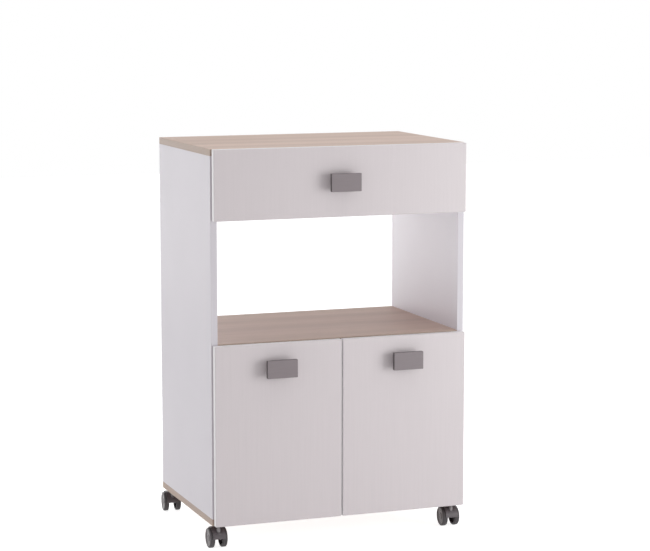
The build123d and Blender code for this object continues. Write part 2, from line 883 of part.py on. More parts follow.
with BuildPart() as hinge_arms:
    add(arms)
finish(hinge_arms, "hinge_arms")

with BuildPart() as hinge_plates:
    add(plates)
finish(hinge_plates, "hinge_plates")

# Screws that hold the hinge plates, the hinge arms and the cabinet runners

with BuildPart() as carcass_screws:
    for hand in sides.values():
        into = (hand, 0, 0)
        for z in hinge_heights:
            for step in (-plate_screw_pitch / 2, plate_screw_pitch / 2):
                seat = (hand * (inner_half - plate_wing), plate_screw_y, z + step)
                screw(seat, into, euro_head_radius, euro_head_height, euro_radius, plate_wing + euro_length)
            arm_face = inner_half - plate_ridge - arm_thickness
            seat = (hand * arm_face, plate_screw_y, z)
            screw(seat, into, euro_head_radius, euro_head_height, euro_radius, arm_thickness + plate_ridge)
        for y in runner_screw_ys:
            seat = (hand * (inner_half - runner_steel), y, roller_z)
            screw(seat, into, screw_head_radius, screw_head_height, screw_radius, screw_length)
finish(carcass_screws, "carcass_screws")

# Casters: sockets and stems on the carcass, a hood that swivels, an axle and two wheels

boss_top_z = caster_height - boss_top_clearance
boss_base_z = boss_top_z - boss_depth
stem_base_z = boss_top_z - stem_depth
wheel_inner = wheel_spacing / 2 - wheel_width / 2
axle_half = wheel_inner + wheel_width - axle_cover
web_half = wheel_inner - hood_web_clearance
hood_radius = wheel_radius + hood_clearance + hood_wall
slot_half = sleeve_radius + sleeve_clearance
up = (0, 0, 1)

with BuildPart() as caster_sockets:
    for x, y in stem_places:
        peg((x, y, base_z), up, socket_radius, socket_length)
        drill((x, y, base_z), up, stem_radius + fitting_clearance, socket_length)
finish(caster_sockets, "caster_sockets")

with BuildPart() as caster_stems:
    for x, y in stem_places:
        peg((x, y, stem_base_z), up, stem_radius, base_z + socket_length - stem_base_z)
        peg((x, y, base_z - stem_flange_height), up, stem_flange_radius, stem_flange_height)
        peg((x, y, boss_top_z + sleeve_lift), up, sleeve_radius, sleeve_height)
finish(caster_stems, "caster_stems")


def hood_point(radius, angle):
    return (caster_trail - radius * cos(radians(angle)), wheel_radius + radius * sin(radians(angle)))


def make_hood(stem, axle_way, trail_way, axle_point):
    side_view = Plane(origin=stem, x_dir=trail_way, z_dir=axle_way)
    middle_angle = (hood_front_angle + hood_back_angle) / 2
    inner_radius = wheel_radius + hood_clearance
    outer_arc = [hood_point(hood_radius, a) for a in (hood_front_angle, middle_angle, hood_back_angle)]
    inner_arc = [hood_point(inner_radius, a) for a in (hood_back_angle, middle_angle, hood_front_angle)]
    barrel_back = (caster_trail + hood_barrel_radius, wheel_radius)
    barrel_base = (caster_trail, wheel_radius - hood_barrel_radius)
    barrel_front = (caster_trail - hood_barrel_radius, wheel_radius)
    boss_top = stem + Vector(0, 0, boss_top_z)
    with BuildPart() as hood:
        # web between the wheels, from the arched rim down to the barrel round the axle
        with BuildSketch(side_view):
            with BuildLine():
                ThreePointArc(*outer_arc)
                Line(outer_arc[-1], barrel_back)
                ThreePointArc(barrel_back, barrel_base, barrel_front)
                Line(barrel_front, outer_arc[0])
            make_face()
        extrude(amount=web_half, both=True)
        # arched rim over the inner half of each wheel
        with BuildSketch(side_view):
            with BuildLine():
                ThreePointArc(*outer_arc)
                Line(outer_arc[-1], inner_arc[0])
                ThreePointArc(*inner_arc)
                Line(inner_arc[-1], outer_arc[0])
            make_face()
        extrude(amount=hood_width / 2, both=True)
        # slot that leaves the stem's sleeve in view above the boss
        with Locations(Plane(origin=boss_top, x_dir=axle_way, z_dir=up)):
            Cylinder(slot_half, hood_radius, align=on_base, mode=Mode.SUBTRACT)
            Box(
                2 * slot_half,
                hood_radius,
                hood_radius,
                align=(Align.CENTER, Align.MAX, Align.MIN),
                mode=Mode.SUBTRACT,
            )
        peg(stem + Vector(0, 0, boss_base_z), up, boss_radius, boss_depth)
        stem_end = stem + Vector(0, 0, stem_base_z - stem_clearance)
        drill(stem_end, up, stem_radius + running_clearance, boss_depth)
        barrel_end = axle_point - axle_way * web_half
        drill(barrel_end, axle_way, axle_radius + fitting_clearance, 2 * web_half)
    return hood


def make_wheel(axle_point, out, trail_way, way):
    inner_face = axle_point + out * wheel_inner
    section = Plane(origin=inner_face, x_dir=out, z_dir=trail_way * -way)
    bore = axle_radius + running_clearance
    bore_depth = wheel_width - axle_cover + running_clearance
    rim_inner = wheel_radius - wheel_rim
    dish_face = wheel_width - wheel_dish_depth
    with BuildPart() as wheel:
        with BuildSketch(section):
            with BuildLine():
                Polyline(
                    (0, bore),
                    (0, wheel_hub_radius),
                    (wheel_hollow_depth, wheel_hub_radius),
                    (wheel_hollow_depth, rim_inner),
                    (0, rim_inner),
                    (0, wheel_radius),
                    (wheel_width, wheel_radius),
                    (wheel_width, rim_inner),
                    (dish_face, rim_inner - wheel_dish_depth),
                    (dish_face, wheel_hub_radius + wheel_dish_depth),
                    (wheel_width, wheel_hub_radius),
                    (wheel_width, 0),
                    (bore_depth, 0),
                    (bore_depth, bore),
                    close=True,
                )
            section_face = make_face()
            fillet(section_face.vertices().group_by(Axis.Y)[-1], wheel_edge_rounding)
        revolve(axis=Axis(inner_face, out))
    return wheel


for end_name, turn in caster_turns.items():
    turn_angle = radians(turn)
    axle_way = Vector(cos(turn_angle), -sin(turn_angle), 0)
    trail_way = Vector(sin(turn_angle), cos(turn_angle), 0)
    for side_name, hand in sides.items():
        place = f"{end_name}_{side_name}"
        stem = Vector(hand * stem_x, stem_ys[end_name], 0)
        axle_point = stem + trail_way * caster_trail + Vector(0, 0, wheel_radius)
        finish(make_hood(stem, axle_way, trail_way, axle_point), f"{place}_hood")
        with BuildPart() as axle:
            peg(axle_point - axle_way * axle_half, axle_way, axle_radius, 2 * axle_half)
        finish(axle, f"{place}_axle")
        for wheel_side, way in sides.items():
            wheel = make_wheel(axle_point, axle_way * way, trail_way, way)
            finish(wheel, f"{place}_{wheel_side}_wheel")
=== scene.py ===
import json
import math

import bmesh
import bpy
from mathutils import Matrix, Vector


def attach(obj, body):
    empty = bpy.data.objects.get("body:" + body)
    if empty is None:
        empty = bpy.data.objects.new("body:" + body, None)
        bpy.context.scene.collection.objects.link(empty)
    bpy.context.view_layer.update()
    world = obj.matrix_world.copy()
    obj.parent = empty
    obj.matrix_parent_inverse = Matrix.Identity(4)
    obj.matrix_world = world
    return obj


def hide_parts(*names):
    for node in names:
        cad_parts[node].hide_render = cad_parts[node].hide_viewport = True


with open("model.json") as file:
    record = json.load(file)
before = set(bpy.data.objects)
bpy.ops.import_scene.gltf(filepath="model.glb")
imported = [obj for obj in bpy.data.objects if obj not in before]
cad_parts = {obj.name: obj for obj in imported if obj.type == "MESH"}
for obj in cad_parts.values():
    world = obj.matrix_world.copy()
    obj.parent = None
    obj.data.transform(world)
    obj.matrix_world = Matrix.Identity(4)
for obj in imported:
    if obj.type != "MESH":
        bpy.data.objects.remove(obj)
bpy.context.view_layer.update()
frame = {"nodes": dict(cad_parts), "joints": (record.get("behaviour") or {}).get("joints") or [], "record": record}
cadNodes = frame["nodes"]
joints = {joint["name"]: joint for joint in frame["joints"]}
scene = bpy.context.scene


# Camera: the photograph's place, found from the cabinet's own edges

cameraSetup = {
    "place": (-1.66606, -4.55100, 1.23779),  # metres
    "turnRight": 20.491,  # degrees
    "tiltDown": 7.769,
    "lens": 117.69,  # millimetres
    "sensor": 36,
}

cameraData = bpy.data.cameras.new("photoCamera")
cameraData.sensor_width = cameraSetup["sensor"]
cameraData.lens = cameraSetup["lens"]
camera = bpy.data.objects.new("photoCamera", cameraData)
camera.location = cameraSetup["place"]
tilt = math.radians(90 - cameraSetup["tiltDown"])
camera.rotation_euler = (tilt, 0, -math.radians(cameraSetup["turnRight"]))
scene.collection.objects.link(camera)
scene.camera = camera
print("camera set")


# Small helpers for the node trees: an input takes a value or another node's output

def feed(tree, value, socket):
    if isinstance(value, bpy.types.NodeSocket):
        tree.links.new(value, socket)
    else:
        socket.default_value = value


def addNode(tree, kind, inputs=None, **settings):
    node = tree.nodes.new(kind)
    for name, value in settings.items():
        setattr(node, name, value)
    for name, value in (inputs or {}).items():
        feed(tree, value, node.inputs[name])
    return node


def calculate(tree, operation, *values):
    return addNode(tree, "ShaderNodeMath", dict(enumerate(values)), operation=operation).outputs["Value"]


def startMaterial(name):
    material = bpy.data.materials.new(name)
    material.use_nodes = True
    tree = material.node_tree
    return material, tree, tree.nodes["Principled BSDF"], addNode(tree, "ShaderNodeTexCoord").outputs


def stretched(tree, place, scale):
    return addNode(tree, "ShaderNodeMapping", {"Vector": place, "Scale": scale}).outputs["Vector"]


def noise(tree, place, scale, detail=2.0, roughness=0.5, distortion=0.0):
    sizes = {"Scale": scale, "Detail": detail, "Roughness": roughness, "Distortion": distortion}
    return addNode(tree, "ShaderNodeTexNoise", {"Vector": place, **sizes}).outputs["Fac"]


def spread(tree, value, low, high, fromLow=0.3, fromHigh=0.7):
    sizes = {"From Min": fromLow, "From Max": fromHigh, "To Min": low, "To Max": high}
    return addNode(tree, "ShaderNodeMapRange", {"Value": value, **sizes}).outputs["Result"]


def blendColours(tree, factor, first, second, way="MIX"):
    node = addNode(tree, "ShaderNodeMix", data_type="RGBA", blend_type=way)
    for index, value in ((0, factor), (6, first), (7, second)):  # the Mix node's inputs for colours
        feed(tree, (*value, 1) if isinstance(value, tuple) else value, node.inputs[index])
    return node.outputs[2]


def shade(colour, share):
    return tuple(part * share for part in colour)


def drifting(tree, pattern, tone, drift):
    return blendColours(tree, spread(tree, pattern, 0, 1), shade(tone, 1 - drift), shade(tone, 1 + drift))


def facing(tree, coords, axis):
    parts = addNode(tree, "ShaderNodeSeparateXYZ", {"Vector": coords["Normal"]})
    return calculate(tree, "ABSOLUTE", parts.outputs[axis])


def finishSurface(tree, shader, tone, sheen, height, look):
    feed(tree, tone, shader.inputs["Base Color"])
    feed(tree, spread(tree, sheen, *look["gloss"]), shader.inputs["Roughness"])
    sizes = {"Strength": look["bumpStrength"], "Distance": look["bumpDepth"]}
    bump = addNode(tree, "ShaderNodeBump", {"Height": height, **sizes})
    feed(tree, bump.outputs["Normal"], shader.inputs["Normal"])


# Melamine boards, painted hardboard, coated runners, plated steel and moulded plastics share one simple build

coatLooks = {
    "hardboardPaint": dict(tone=(0.70, 0.68, 0.69), drift=0.03, cloudSize=9.0, grainSize=420.0,
                           bumpDepth=0.00008, gloss=(0.55, 0.70)),
    "runnerCoat": dict(tone=(0.74, 0.74, 0.72), drift=0.02, cloudSize=20.0, grainSize=700.0,
                       bumpDepth=0.00005, gloss=(0.32, 0.42)),
    "nylonWhite": dict(tone=(0.76, 0.75, 0.70), drift=0.02, cloudSize=60.0, grainSize=900.0,
                       bumpDepth=0.00003, gloss=(0.40, 0.50)),
    "beechDowel": dict(tone=(0.56, 0.40, 0.25), drift=0.15, cloudSize=220.0, grainSize=900.0,
                       bumpDepth=0.00005, gloss=(0.60, 0.72)),
    "zincPlate": dict(tone=(0.64, 0.64, 0.65), drift=0.06, cloudSize=90.0, grainSize=1600.0,
                      bumpDepth=0.00001, gloss=(0.26, 0.40), metallic=1.0),
    # painted shade: the caster stems are given the dark tone of the shadow they sit in
    "shadedStemSteel": dict(tone=(0.250, 0.232, 0.240), drift=0.08, cloudSize=140.0, grainSize=1500.0,
                      bumpDepth=0.00002, gloss=(0.45, 0.58), metallic=0.25),
    "hoodPlastic": dict(tone=(0.105, 0.088, 0.096), drift=0.08, cloudSize=120.0, grainSize=1800.0,
                        bumpDepth=0.00004, gloss=(0.32, 0.44)),
    "discPlastic": dict(tone=(0.118, 0.100, 0.108), drift=0.06, cloudSize=160.0, grainSize=1800.0,
                        bumpDepth=0.00002, gloss=(0.26, 0.36)),
    "treadRubber": dict(tone=(0.058, 0.050, 0.054), drift=0.20, cloudSize=260.0, grainSize=1400.0,
                        bumpDepth=0.00006, gloss=(0.42, 0.58)),
    "whiteLaminate": dict(tone=(0.722, 0.684, 0.732), drift=0.015, cloudSize=5.0, grainSize=850.0,
                          bumpDepth=0.00004, gloss=(0.40, 0.48), cloudDetail=2.0, bumpStrength=0.25),
}
coatDefaults = {"cloudDetail": 3.0, "grainDetail": 3.0, "bumpStrength": 0.3, "metallic": 0.0}


def makeCoat(name, look):
    look = {**coatDefaults, **look}
    material, tree, shader, coords = startMaterial(name)
    cloud = noise(tree, coords["Object"], look["cloudSize"], look["cloudDetail"])
    grain = noise(tree, coords["Object"], look["grainSize"], look["grainDetail"])
    finishSurface(tree, shader, drifting(tree, cloud, look["tone"], look["drift"]), grain, grain, look)
    shader.inputs["Metallic"].default_value = look["metallic"]
    return material


# Fronts: satin film with a painted highlight, a whiter band round the edges. Handles: satin lacquer with painted
# shade on darker flanks

facedLooks = {
    "frontFilm": {
        "face": (0.722, 0.658, 0.678),
        # painted highlight: the light that rounded edges catch, given as a whiter tone
        "edge": (0.93, 0.905, 0.92),
        "edgeFrom": 0.80,  # a surface that faces forward less than this starts to take the painted edge highlight's tone
        "edgeTo": 0.55,
        "drift": 0.012,
        "streakScale": (60, 60, 1.5),
        "streakNoise": (4.0, 4.0),  # scale and detail
        "grainNoise": (1100.0, 2.0),
        "gloss": (0.30, 0.36),
        "bumpStrength": 0.2,
        "bumpDepth": 0.00003,
    },
    "handleLacquer": {
        "face": (0.242, 0.204, 0.217),
        # painted shade: the flanks' shadow, given as a darker tone
        "edge": (0.085, 0.070, 0.075),
        "edgeFrom": 0.85,
        "edgeTo": 0.60,
        "drift": 0.02,
        "streakScale": (12, 12, 90),
        "streakNoise": (3.0, 3.0),
        "grainNoise": (1500.0, 3.0),
        "gloss": (0.36, 0.46),
        "bumpStrength": 0.3,
        "bumpDepth": 0.00002,
    },
}


def makeFaced(name, look):
    material, tree, shader, coords = startMaterial(name)
    place = coords["Object"]
    # the edge tone is painted light: a highlight round the fronts, shade on the handles' flanks
    paintedEdgeLightAndShade = spread(tree, facing(tree, coords, "Y"), 0, 1, look["edgeFrom"], look["edgeTo"])
    streaks = noise(tree, stretched(tree, place, look["streakScale"]), *look["streakNoise"])
    face = drifting(tree, streaks, look["face"], look["drift"])
    grain = noise(tree, place, *look["grainNoise"])
    finishSurface(tree, shader, blendColours(tree, paintedEdgeLightAndShade, face, look["edge"]), grain, grain, look)
    return material


# Oak laminate: long streaks, short dark pores and a slow change of tone, along the board

oakLook = {
    "pale": (0.740, 0.570, 0.490),
    "mid": (0.635, 0.472, 0.398),
    "dark": (0.450, 0.320, 0.255),
    "streakScale": (1.1, 24.0, 24.0),
    "streakNoise": (1.0, 6.0, 0.62, 0.6),  # scale, detail, roughness and distortion
    "streakRange": (0.32, 0.68),
    "slowScale": (0.8, 9.0, 9.0),
    "slowNoise": (1.0, 3.0),
    "slowRange": (0.4, 0.66),
    "slowShare": 0.55,
    "poreScale": (14.0, 420.0, 420.0),
    "poreNoise": (1.0, 2.0, 0.6),
    "poreRange": (0.55, 0.72),
    "poreShare": 0.30,
    "paintedEdgeShade": (0.74, 0.75, 0.73),  # painted shade: faces that don't face up or down are this share of the face's tone
    "edgeRange": (0.6, 0.7),
    "gloss": (0.46, 0.62),
    "bumpStrength": 0.35,
    "bumpDepth": 0.00012,
}


def makeOak(name, look):
    material, tree, shader, coords = startMaterial(name)
    board = coords["Object"]
    quarterTurn = (0, 0, math.radians(90))  # end bands run along Y
    turned = addNode(tree, "ShaderNodeMapping", {"Vector": board, "Rotation": quarterTurn}).outputs["Vector"]
    onEnd = spread(tree, facing(tree, coords, "X"), 0, 1, *look["edgeRange"])
    choice = {0: onEnd, 4: board, 5: turned}  # the Mix node's inputs for vectors
    place = addNode(tree, "ShaderNodeMix", choice, data_type="VECTOR").outputs[1]

    streaks, slow, pores = (
        noise(tree, stretched(tree, place, look[kind + "Scale"]), *look[kind + "Noise"])
        for kind in ("streak", "slow", "pore")
    )
    tone = blendColours(tree, spread(tree, streaks, 0, 1, *look["streakRange"]), look["mid"], look["pale"])
    slowMask = spread(tree, slow, 0, look["slowShare"], *look["slowRange"])
    poreMask = spread(tree, pores, 0, look["poreShare"], *look["poreRange"])
    for mask in (slowMask, poreMask):
        tone = blendColours(tree, mask, tone, look["dark"])
    # painted shade: the boards' sides are darker than their tops
    paintedEdgeLightAndShade = spread(tree, facing(tree, coords, "Z"), 1, 0, *look["edgeRange"])
    tone = blendColours(tree, paintedEdgeLightAndShade, tone, blendColours(tree, 1.0, tone, look["paintedEdgeShade"], "MULTIPLY"))
    finishSurface(tree, shader, tone, streaks, pores, look)
    return material


finishes = {name: makeCoat(name, look) for name, look in coatLooks.items()}
finishes.update((name, makeFaced(name, look)) for name, look in facedLooks.items())
finishes["oakLaminate"] = makeOak("oakLaminate", oakLook)
print("finishes made:", len(finishes))


# Each CAD node takes the finish of its record slot

slotFinishes = {
    "white_laminate": "whiteLaminate",
    "white_front": "frontFilm",
    "oak_laminate": "oakLaminate",
    "hardboard": "hardboardPaint",
    "grey_handle": "handleLacquer",
    "runner_steel": "runnerCoat",
    "white_nylon": "nylonWhite",
    "dowel_beech": "beechDowel",
    "zinc_steel": "zincPlate",
    "caster_hood": "hoodPlastic",
    "caster_wheel": "discPlastic",
}

for subpart in frame["record"]["subparts"]:
    mesh = cadNodes[subpart["node"]].data
    mesh.materials.clear()
    mesh.materials.append(finishes[slotFinishes[subpart["material_slot"]]])
cadNodes["caster_stems"].data.materials[0] = finishes["shadedStemSteel"]  # painted shade: darker than the plated screws, for the shadow under the cabinet
print("CAD nodes dressed")


# Solids of a CAD node, read from a merged copy of its mesh

readSetup = {
    "mergeWithin": 1e-6,  # metres
    "sameLevel": 1e-5,
    "headShare": 0.98,  # corners past this share of a fastener's greatest radius belong to its head
    "notchShare": 0.9,  # corners inside this share of a cam's radius belong to its notch
}


def mergedCopy(nodeName):
    shape = bmesh.new()
    shape.from_mesh(cadNodes[nodeName].data)
    bmesh.ops.remove_doubles(shape, verts=shape.verts, dist=readSetup["mergeWithin"])
    return shape


def looseSolids(nodeName):
    shape = mergedCopy(nodeName)
    waiting = dict.fromkeys(shape.verts)  # in the mesh's own order, so every run gives the same list
    solids = []
    while waiting:
        reached = [waiting.popitem()[0]]
        for corner in reached:
            ends = (edge.other_vert(corner) for edge in corner.link_edges)
            beside = [other for other in ends if other in waiting]
            for other in beside:
                del waiting[other]
            reached.extend(beside)
        solids.append([corner.co.copy() for corner in reached])
    shape.free()
    return solids


def measure(corners):
    low = Vector([min(corner[i] for corner in corners) for i in range(3)])
    high = Vector([max(corner[i] for corner in corners) for i in range(3)])
    size = high - low
    along = min(range(3), key=lambda i: abs(size[i - 1] - size[i - 2]))  # the other two sizes are the width
    return (low + high) / 2, size, along


def reachFrom(middle, along, corner):
    away = corner - middle
    away[along] = 0
    return away.length


def aimAlong(along, way):
    aim = Vector((0, 0, 0))
    aim[along] = way
    return aim


def readFastener(corners):
    middle, size, along = measure(corners)
    reaches = [(reachFrom(middle, along, corner), corner[along]) for corner in corners]
    radius = max(reach for reach, level in reaches)
    wide = [level for reach, level in reaches if reach > readSetup["headShare"] * radius]
    headFrom, headTo = min(wide), max(wide)
    below, above = headFrom - readSetup["sameLevel"], headTo + readSetup["sameLevel"]
    thin = max(reach for reach, level in reaches if level < below or level > above)
    way = 1 if sum(wide) / len(wide) > middle[along] else -1
    seat = middle.copy()
    seat[along] = headFrom if way > 0 else headTo  # where the head meets what it holds
    return {
        "seat": seat,
        "aim": aimAlong(along, way),
        "head": Vector((radius, radius, headTo - headFrom)),
        "shank": Vector((thin, thin, size[along] - (headTo - headFrom))),
    }


def readCam(corners):
    middle, size, along = measure(corners)
    if size[along] > min(size[along - 1], size[along - 2]):
        return None  # a bolt, not a cam
    inside = readSetup["notchShare"] * size[along - 1] / 2
    notch = [corner[along] - middle[along] for corner in corners if reachFrom(middle, along, corner) < inside]
    aim = aimAlong(along, -1 if sum(notch) > 0 else 1)  # the notch for the bolt is on the far side of the cap
    return middle + aim * (size[along] / 2), aim


# Geometry trees that screws and cams share

creaseAngle = 24  # degrees; steeper edges stay sharp


def newTree(name, shape):
    tree = bpy.data.node_groups.new(name, "GeometryNodeTree")
    kinds = {label: "NodeSocketInt" if isinstance(value, int) else "NodeSocketFloat"
             for label, value in shape.items()}
    kinds["finish"] = "NodeSocketMaterial"
    tree.interface.new_socket("Geometry", in_out="INPUT", socket_type="NodeSocketGeometry")
    marks = {label: tree.interface.new_socket(label, in_out="INPUT", socket_type=kind).identifier
             for label, kind in kinds.items()}
    tree.interface.new_socket("Geometry", in_out="OUTPUT", socket_type="NodeSocketGeometry")
    return tree, marks, addNode(tree, "NodeGroupInput").outputs


def vectorOf(tree, x, y, z):
    return addNode(tree, "ShaderNodeCombineXYZ", {"X": x, "Y": y, "Z": z}).outputs["Vector"]


def moved(tree, geometry, shift):
    node = addNode(tree, "GeometryNodeTransform", {"Geometry": geometry, "Translation": shift})
    return node.outputs["Geometry"]


def boxOf(tree, size, shift):
    return moved(tree, addNode(tree, "GeometryNodeMeshCube", {"Size": size}).outputs["Mesh"], shift)


def cutBy(tree, solid, cutters):
    cut = addNode(tree, "GeometryNodeMeshBoolean", {"Mesh 1": solid}, operation="DIFFERENCE", solver="EXACT")
    for cutter in cutters:
        tree.links.new(cutter, cut.inputs["Mesh 2"])
    return cut.outputs["Mesh"]


def pointValue(tree, name):
    node = addNode(tree, "GeometryNodeInputNamedAttribute", {"Name": name}, data_type="FLOAT_VECTOR")
    return node.outputs["Attribute"]


def isOver(tree, value, limit):
    kind, sides = "FunctionNodeCompare", {0: value, 1: limit}
    return addNode(tree, kind, sides, data_type="FLOAT", operation="GREATER_THAN").outputs["Result"]


def standOn(tree, points, shape, scale=(1, 1, 1)):
    turn = addNode(tree, "FunctionNodeAlignRotationToVector", {"Vector": pointValue(tree, "aim")}, axis="Z")
    copies = {"Points": points, "Instance": shape, "Rotation": turn.outputs["Rotation"], "Scale": scale}
    return addNode(tree, "GeometryNodeInstanceOnPoints", copies).outputs["Instances"]


def closeTree(tree, geometry, finish):
    edges = addNode(tree, "GeometryNodeInputMeshEdgeAngle")
    steep = isOver(tree, edges.outputs["Unsigned Angle"], math.radians(creaseAngle))
    steps = (
        ("GeometryNodeRealizeInstances", {}, {}),
        ("GeometryNodeSetShadeSmooth", {}, {"domain": "FACE"}),
        ("GeometryNodeSetShadeSmooth", {"Shade Smooth": False, "Selection": steep}, {"domain": "EDGE"}),
        ("GeometryNodeSetMaterial", {"Material": finish}, {}),
        ("NodeGroupOutput", {}, {}),
    )
    for kind, inputs, settings in steps:
        node = addNode(tree, kind, {"Geometry": geometry, **inputs}, **settings)
        geometry = node.outputs["Geometry"] if node.outputs else None


def grow(name, mesh, tree, marks, shape, finish):
    piece = bpy.data.objects.new(name, mesh)
    scene.collection.objects.link(piece)
    modifier = piece.modifiers.new(name, "NODES")
    modifier.node_group = tree
    for label, value in {**shape, "finish": finish}.items():
        modifier[marks[label]] = value
    bpy.context.view_layer.update()
    grown = bpy.data.meshes.new_from_object(piece.evaluated_get(bpy.context.evaluated_depsgraph_get()))
    piece.modifiers.clear()
    piece.data = grown
    return piece


# Screws: domed heads with a cross recess, one tree for every screw of the cabinet

screwSetup = {
    "shape": {
        "sides": 28,
        "shankSides": 14,
        "rim": 0.55,  # of the head's height
        "shoulder": 0.84,  # widths, each of the step below it
        "crown": 0.52,
        "shoulderRise": 0.66,  # of the height that the rim leaves
        "crownRise": 0.34,
        "crossSpan": 1.15,  # of the radius
        "crossWidth": 0.24,
        "crossFloor": 0.42,  # of the height
    },
    "bodies": {
        "carcass_screws": "carcass",
        "drawer_screws": "drawer",
        "left_door_screws": "left_door",
        "right_door_screws": "right_door",
    },
}


def makeScrewTree(shape):
    tree, marks, values = newTree("recessedScrews", shape)
    disc = {"Vertices": values["sides"], "Radius": 1.0, "Depth": values["rim"]}
    rim = addNode(tree, "GeometryNodeMeshCylinder", disc)
    halfRim = calculate(tree, "MULTIPLY", values["rim"], 0.5)
    head, top = moved(tree, rim.outputs["Mesh"], vectorOf(tree, 0.0, 0.0, halfRim)), rim.outputs["Top"]
    rest = calculate(tree, "SUBTRACT", 1.0, values["rim"])
    for part in ("shoulder", "crown"):
        rise = calculate(tree, "MULTIPLY", rest, values[part + "Rise"])
        lifted = {"Mesh": head, "Selection": top, "Offset Scale": rise}
        step = addNode(tree, "GeometryNodeExtrudeMesh", lifted, mode="FACES").outputs
        narrowed = {"Geometry": step["Mesh"], "Selection": step["Top"], "Scale": values[part]}
        head = addNode(tree, "GeometryNodeScaleElements", narrowed, domain="FACE").outputs["Geometry"]
        top = step["Top"]

    span, width = values["crossSpan"], values["crossWidth"]
    centre = vectorOf(tree, 0.0, 0.0, calculate(tree, "ADD", values["crossFloor"], 0.5))  # cutters are 1 high
    arms = [boxOf(tree, vectorOf(tree, *arm, 1.0), centre) for arm in ((span, width), (width, span))]
    rod = {"Vertices": values["shankSides"], "Radius": 1.0, "Depth": 1.0}
    shank = moved(tree, addNode(tree, "GeometryNodeMeshCylinder", rod).outputs["Mesh"], (0, 0, -0.5))
    both = addNode(tree, "GeometryNodeJoinGeometry")
    for solid, label in ((cutBy(tree, head, arms), "head"), (shank, "shank")):
        copies = standOn(tree, values["Geometry"], solid, pointValue(tree, label))
        tree.links.new(copies, both.inputs["Geometry"])
    closeTree(tree, both.outputs["Geometry"], values["finish"])
    return tree, marks


def pointMesh(name, points):
    mesh = bpy.data.meshes.new(name)
    mesh.from_pydata([point["seat"] for point in points], [], [])
    for label in ("aim", "head", "shank"):
        layer = mesh.attributes.new(label, "FLOAT_VECTOR", "POINT")
        for row, point in zip(layer.data, points):
            row.vector = point[label]
    return mesh


screwTree, screwMarks = makeScrewTree(screwSetup["shape"])
for node, body in screwSetup["bodies"].items():
    screws = [readFastener(corners) for corners in looseSolids(node)]
    mesh = pointMesh(node + "Points", screws)
    piece = grow(node + "_recessed", mesh, screwTree, screwMarks, screwSetup["shape"], finishes["zincPlate"])
    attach(piece, body)
    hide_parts(node)
    print("screws made:", node, len(screws), "with", len(piece.data.polygons), "faces")


# Cam locks: the CAD cams with a cross recess and a pointer cut into their faces

camSetup = {
    "shape": {
        "crossSpan": 0.0078,  # metres
        "crossWidth": 0.0016,
        "depth": 0.0013,
        "pointerMiddle": 0.0059,
        "pointerLength": 0.0018,
        "pointerWidth": 0.0010,
    },
    "depthShares": (1.0, 0.96, 0.8),  # one cut after another, so that no two cutters share a plane
    "bodies": {"cam_locks": "carcass", "drawer_fittings": "drawer"},
}


def makeCamTree(shape, depthShares):
    tree, marks, values = newTree("camFaces", shape)
    aimLength = addNode(tree, "ShaderNodeVectorMath", {0: pointValue(tree, "aim")}, operation="LENGTH")
    hasAim = isOver(tree, aimLength.outputs["Value"], 0.5)  # only the marks on the cams' faces have an aim
    sorting = {"Geometry": values["Geometry"], "Selection": hasAim}
    parted = addNode(tree, "GeometryNodeSeparateGeometry", sorting, domain="POINT").outputs
    span, width = values["crossSpan"], values["crossWidth"]
    cutters = (
        (span, width, 0.0),
        (width, span, 0.0),
        (values["pointerLength"], values["pointerWidth"], values["pointerMiddle"]),
    )
    solids = parted["Inverted"]
    for (long, wide, away), share in zip(cutters, depthShares):
        deep = calculate(tree, "MULTIPLY", values["depth"], 2 * share)  # half of each stands above the face
        cutter = boxOf(tree, vectorOf(tree, long, wide, deep), vectorOf(tree, away, 0.0, 0.0))
        solids = cutBy(tree, solids, [standOn(tree, parted["Selection"], cutter)])
    closeTree(tree, solids, values["finish"])
    return tree, marks


def markedMesh(name, shape, faces):
    aimLayer = shape.verts.layers.float_vector.new("aim")
    for place, aim in faces:
        shape.verts.new(place)[aimLayer] = aim
    mesh = bpy.data.meshes.new(name)
    shape.to_mesh(mesh)
    shape.free()
    return mesh


camTree, camMarks = makeCamTree(camSetup["shape"], camSetup["depthShares"])
for node, body in camSetup["bodies"].items():
    faces = [face for face in map(readCam, looseSolids(node)) if face]
    mesh = markedMesh(node + "Points", mergedCopy(node), faces)
    piece = grow(node + "_recessed", mesh, camTree, camMarks, camSetup["shape"], finishes["zincPlate"])
    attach(piece, body)
    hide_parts(node)
    print("cams cut:", node, len(faces), "with", len(piece.data.polygons), "faces")


# Wheels: a rounded rubber tyre on a dished disc, turned about the CAD axle

wheelSetup = {
    "steps": 72,
    "cornerSteps": 6,
    "crease": 40,  # degrees
    "tyreRounding": 2.6,  # millimetres from here on
    "tyreDepth": 3.9,
    "tyreLip": 0.2,
    "grooveDepth": 0.45,
    "grooveWidth": 0.3,
    "rimWall": 0.7,
    "rimChamfer": 0.3,
    "discLip": ((0.15, 0.45), (0.0, 0.8), (0.1, 1.3)),  # below the wheel's face, inside the tyre
    "dishDepth": 1.4,
    "dishOuter": ((0.3, 16.2), (0.0, 15.5)),  # above the dish's floor, radius
    "dishInner": ((0.0, 8.7), (0.25, 8.2)),
    "bead": ((0.0, 13.3), (0.45, 12.7), (0.45, 12.1), (0.0, 11.5)),
    "hubRadius": 7.0,
    "hubChamfer": 0.4,
    "hubTop": ((0.0, 6.3), (0.0, 5.6), (0.35, 5.1), (0.2, 2.4), (0.0, 1.2), (0.0, 0.0)),  # depth, radius
    "hollowDepth": 6.5,
    "boreRadius": 2.56,
    "boreDepth": 7.56,
    "boreChamfer": 0.3,
}
perMetre = 1000  # millimetres
treadSlot, discSlot = 0, 1  # a wheel's mesh gets its finishes in this order


def roundCorner(middle, radius, first, last, count):
    turns = [math.radians(first + (last - first) * i / count) for i in range(count + 1)]
    return [(middle[0] + radius * math.cos(turn), middle[1] + radius * math.sin(turn)) for turn in turns]


